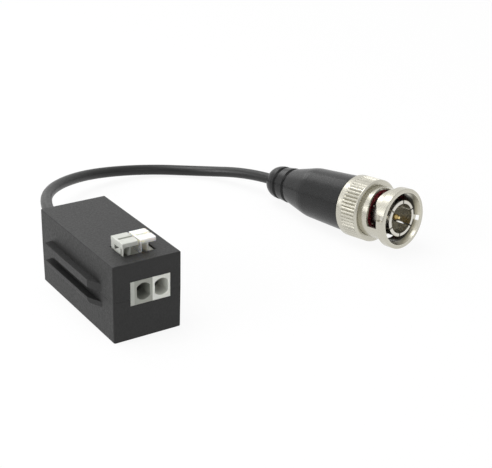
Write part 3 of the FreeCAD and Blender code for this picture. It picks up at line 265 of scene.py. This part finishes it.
def moulded(
    name, colour, grain=2600.0, depth=0.000006, rough=(0.42, 0.56), mottle=0.12,
    specular=0.4, glow=0.0, painted_light=None,
):
    m = Mat(name)
    broad = m.noise(220.0, 4.0, 0.6)
    surface = m.between(broad, shade(colour, 1.0 - mottle), shade(colour, 1.0 + mottle))
    # painted shade and light scale the colour here
    if painted_light:
        surface = m.dimmed(surface, painted_light(m))
    fine = m.noise(grain, 2.0, 0.55)
    m.bump(fine, depth)
    m.set(
        Base_Color=surface,
        Roughness=m.range(fine, NOISE_RANGE, *rough),
        Specular_IOR_Level=specular,
    )
    if glow:
        # a milky plastic: light wanders about a millimetre inside it
        m.set(
            Subsurface_Weight=glow,
            Subsurface_Scale=0.0015,
            Subsurface_Radius=(1.0, 0.85, 0.6),
        )
    return m.mat


def plated(
    name, colour, rough=(0.16, 0.28), depth=0.0000012, tint=0.06,
    turned=0.0, painted_light=None, roughness=None,
):
    m = Mat(name)
    broad = m.noise(320.0, 4.0, 0.6)
    surface = m.between(broad, shade(colour, 1.0 - tint), colour)
    # painted shade and light scale the colour here
    if painted_light:
        surface = m.dimmed(surface, painted_light(m))
    fine = m.noise(900.0, 3.0, 0.6)
    gloss = m.range(fine, NOISE_RANGE, *rough)
    if roughness:
        gloss = roughness(m, gloss)
    normal = m.bump(fine, depth)
    if turned:
        # fine lathe marks, which run round the plug's axis
        inputs = {"W": m.along_plug(), "Scale": 9000.0, "Detail": 2.0}
        marks = m.add("ShaderNodeTexNoise", inputs, noise_dimensions="1D")
        m.bump(marks.outputs["Fac"], turned, normal)
    m.set(Base_Color=surface, Roughness=gloss, Metallic=1.0)
    return m.mat


HOUSING = moulded(
    "housing_black", (0.009, 0.0091, 0.0089), depth=0.00004, specular=0.39, rough=(0.42, 0.58),
    mottle=0.16,
)
TERMINAL_ROUGH = (0.4, 0.5)
GREY = moulded(
    "terminal_grey", (0.34, 0.35, 0.31), rough=TERMINAL_ROUGH, mottle=0.04, painted_light=entry_painted_shade
)
END_GREY = moulded("terminal_end_grey", (0.46, 0.47, 0.43), rough=TERMINAL_ROUGH, mottle=0.04)
WHITE = moulded(
    "terminal_white", (0.75, 0.76, 0.7), rough=TERMINAL_ROUGH, mottle=0.03, glow=0.12,
    painted_light=entry_painted_shade,
)
LEVER_GREY = moulded("lever_pale_grey", (0.52, 0.53, 0.49), rough=(0.38, 0.48), mottle=0.03)
LEVER_WHITE = moulded(
    "lever_white", (0.84, 0.825, 0.765), rough=(0.36, 0.46), mottle=0.02, glow=0.8
)
BOOT = moulded(
    "boot_rubber", (0.006, 0.0062, 0.0064), grain=1800.0, depth=0.000012, rough=(0.25, 0.32),
    mottle=0.15, specular=0.34,
)
CABLE = moulded(
    "cable_jacket", (0.008, 0.0084, 0.008), grain=1500.0, depth=0.000008, rough=(0.34, 0.44),
    mottle=0.1,
)
NICKEL_COLOUR = (0.57, 0.552, 0.478)
NICKEL = plated("nickel_plate", NICKEL_COLOUR, rough=(0.2, 0.3))
NUT_NICKEL = plated(
    "nut_nickel", NICKEL_COLOUR, rough=(0.22, 0.3), depth=0.0000005, tint=0.04,
    turned=0.0000003, painted_light=nut_painted_shade_and_light, roughness=funnel_roughness,
)
CONTACT_NICKEL = plated(
    "contact_nickel", (0.68, 0.66, 0.6), rough=(0.22, 0.3), depth=0.0000005, tint=0.04
)
STEEL = plated("spring_steel", (0.56, 0.56, 0.57))
TIN = plated("tinned_copper", (0.72, 0.71, 0.68), rough=(0.3, 0.42))
GOLD = plated("gold_plate", (0.85, 0.65, 0.29), rough=(0.2, 0.28))
COPPER = plated("enamelled_copper", (0.62, 0.28, 0.12), rough=(0.2, 0.3))
GASKET = moulded(
    "red_gasket", (0.38, 0.036, 0.056), depth=0.00001, rough=(0.35, 0.45), mottle=0.08
)
DARK = moulded("dark_insulator", (0.36, 0.345, 0.29), rough=(0.35, 0.45))
BOARD = moulded("board_green", (0.02, 0.12, 0.05))
FERRITE = moulded("ferrite", (0.05, 0.05, 0.05), depth=0.00002, rough=(0.6, 0.75))
CERAMIC = moulded("ceramic_brown", (0.45, 0.22, 0.06), depth=0.000004, rough=(0.25, 0.35))
LACQUER = moulded("resistor_blue", (0.16, 0.33, 0.5), depth=0.000004, rough=(0.25, 0.35))
NYLON = moulded("nylon_natural", (0.6, 0.6, 0.54), rough=(0.4, 0.5))

FINISH = {
    "lower_housing": HOUSING,
    "upper_housing": HOUSING,
    "terminal_end_plate": END_GREY,
    "terminal_body_grey": GREY,
    "terminal_body_white": WHITE,
    "lever_grey": LEVER_GREY,
    "lever_white": LEVER_WHITE,
    "contact_bar_grey": TIN,
    "contact_bar_white": TIN,
    "clamp_spring_grey": STEEL,
    "clamp_spring_white": STEEL,
    "circuit_board": BOARD,
    "toroid_core": FERRITE,
    "toroid_winding": COPPER,
    "ceramic_capacitor": CERAMIC,
    "film_resistor": LACQUER,
    "coax_tail": CABLE,
    "coax_stub": CABLE,
    "cable_tie": NYLON,
    "coupling_nut": NUT_NICKEL,
    "connector_body": NICKEL,
    "outer_contact": CONTACT_NICKEL,
    "crimp_ferrule": NICKEL,
    "insulator": DARK,
    "centre_pin": GOLD,
    "gasket": GASKET,
    "wave_washer": STEEL,
    "thrust_washer": STEEL,
    "retaining_ring": STEEL,
    "strain_boot": BOOT,
}


def dress(obj, mat):
    obj.data.materials.clear()
    obj.data.materials.append(mat)


for node_name, finish in FINISH.items():
    node = nodes[node_name]
    dress(node, finish)
    node.data.shade_smooth()
    node.data.set_sharp_from_angle(angle=math.radians(28.0))
    # long flat or tapering faces keep their own shading beside a small rounded edge
    even = node.modifiers.new("even_normals", "WEIGHTED_NORMAL")
    even.keep_sharp = True
    even.weight = 90
dress(cable, CABLE)


# Floor, world and lamps
def make_floor():
    mesh = bpy.data.meshes.new("floor")
    half = 3.0
    corners = [(-half, -half, 0), (half, -half, 0), (half, half, 0), (-half, half, 0)]
    mesh.from_pydata(corners, [], [(0, 1, 2, 3)])
    floor = bpy.data.objects.new("floor", mesh)
    scene.collection.objects.link(floor)
    m = Mat("floor_white")
    m.set(Base_Color=(0.82, 0.82, 0.82, 1.0), Roughness=0.9, Specular_IOR_Level=0.0)
    glow = m.add("ShaderNodeEmission", {"Strength": 1.0})
    path = m.add("ShaderNodeLightPath").outputs
    seen = m.math("MAXIMUM", path["Is Camera Ray"], path["Is Glossy Ray"])
    seen = m.math("MAXIMUM", seen, path["Is Transmission Ray"])
    # the shadow shows near the object, and far away the floor is as white as the backdrop
    away = m.add("ShaderNodeVectorMath", {0: m.coord}, operation="LENGTH").outputs["Value"]
    share = m.math("MULTIPLY", seen, m.range(away, (0.16, 0.5), 0.9, 1.0))
    surface = m.mix(share, m.bsdf, glow)
    m.feed(surface, m.tree.nodes["Material Output"].inputs["Surface"])
    dress(floor, m.mat)


def make_world():
    world = bpy.data.worlds.new("studio")
    scene.world = world
    world.use_nodes = True
    world.node_tree.nodes.clear()
    t = Tree(world.node_tree)
    white = t.add("ShaderNodeBackground", {"Color": (1.0, 1.0, 1.0, 1.0), "Strength": 1.0})
    # the room is lighter behind the object, where the backdrop stands, than on the camera's side
    ahead = t.add("ShaderNodeTexCoord").outputs["Generated"]
    ahead = t.add("ShaderNodeSeparateXYZ", {0: ahead}).outputs["Y"]
    path = t.add("ShaderNodeLightPath").outputs
    shiny = t.math("MAXIMUM", path["Is Glossy Ray"], path["Is Transmission Ray"])
    room = t.add(
        "ShaderNodeBackground",
        {
            "Color": t.range(ahead, (-0.9, 0.3), 0.62, 1.0),
            "Strength": t.range(shiny, (0.0, 1.0), 0.55, 1.0),
        },
    )
    surface = t.mix(path["Is Camera Ray"], room, white)
    t.add("ShaderNodeOutputWorld", {"Surface": surface})


def lamp(name, place, aim, size, power):
    data = bpy.data.lights.new(name, "AREA")
    data.shape = "RECTANGLE"
    data.size, data.size_y = size
    data.energy = power
    obj = bpy.data.objects.new(name, data)
    scene.collection.objects.link(obj)
    obj.location = place
    obj.rotation_euler = (Vector(aim) - Vector(place)).to_track_quat("-Z", "Y").to_euler()


make_floor()
make_world()
lamp("overhead", (-0.1, 0.15, 0.55), (0.03, 0.01, 0.0), (0.5, 0.4), 2.5)
lamp("back", (0.06, 0.6, 0.36), (0.05, 0.01, 0.0), (0.32, 0.2), 0.36)
lamp("left", (-0.5, 0.1, 0.22), (0.02, 0.0, 0.01), (0.3, 0.25), 1.6)
lamp("front", (0.15, -0.6, 0.35), (0.03, 0.0, 0.01), (0.3, 0.2), 0.4)
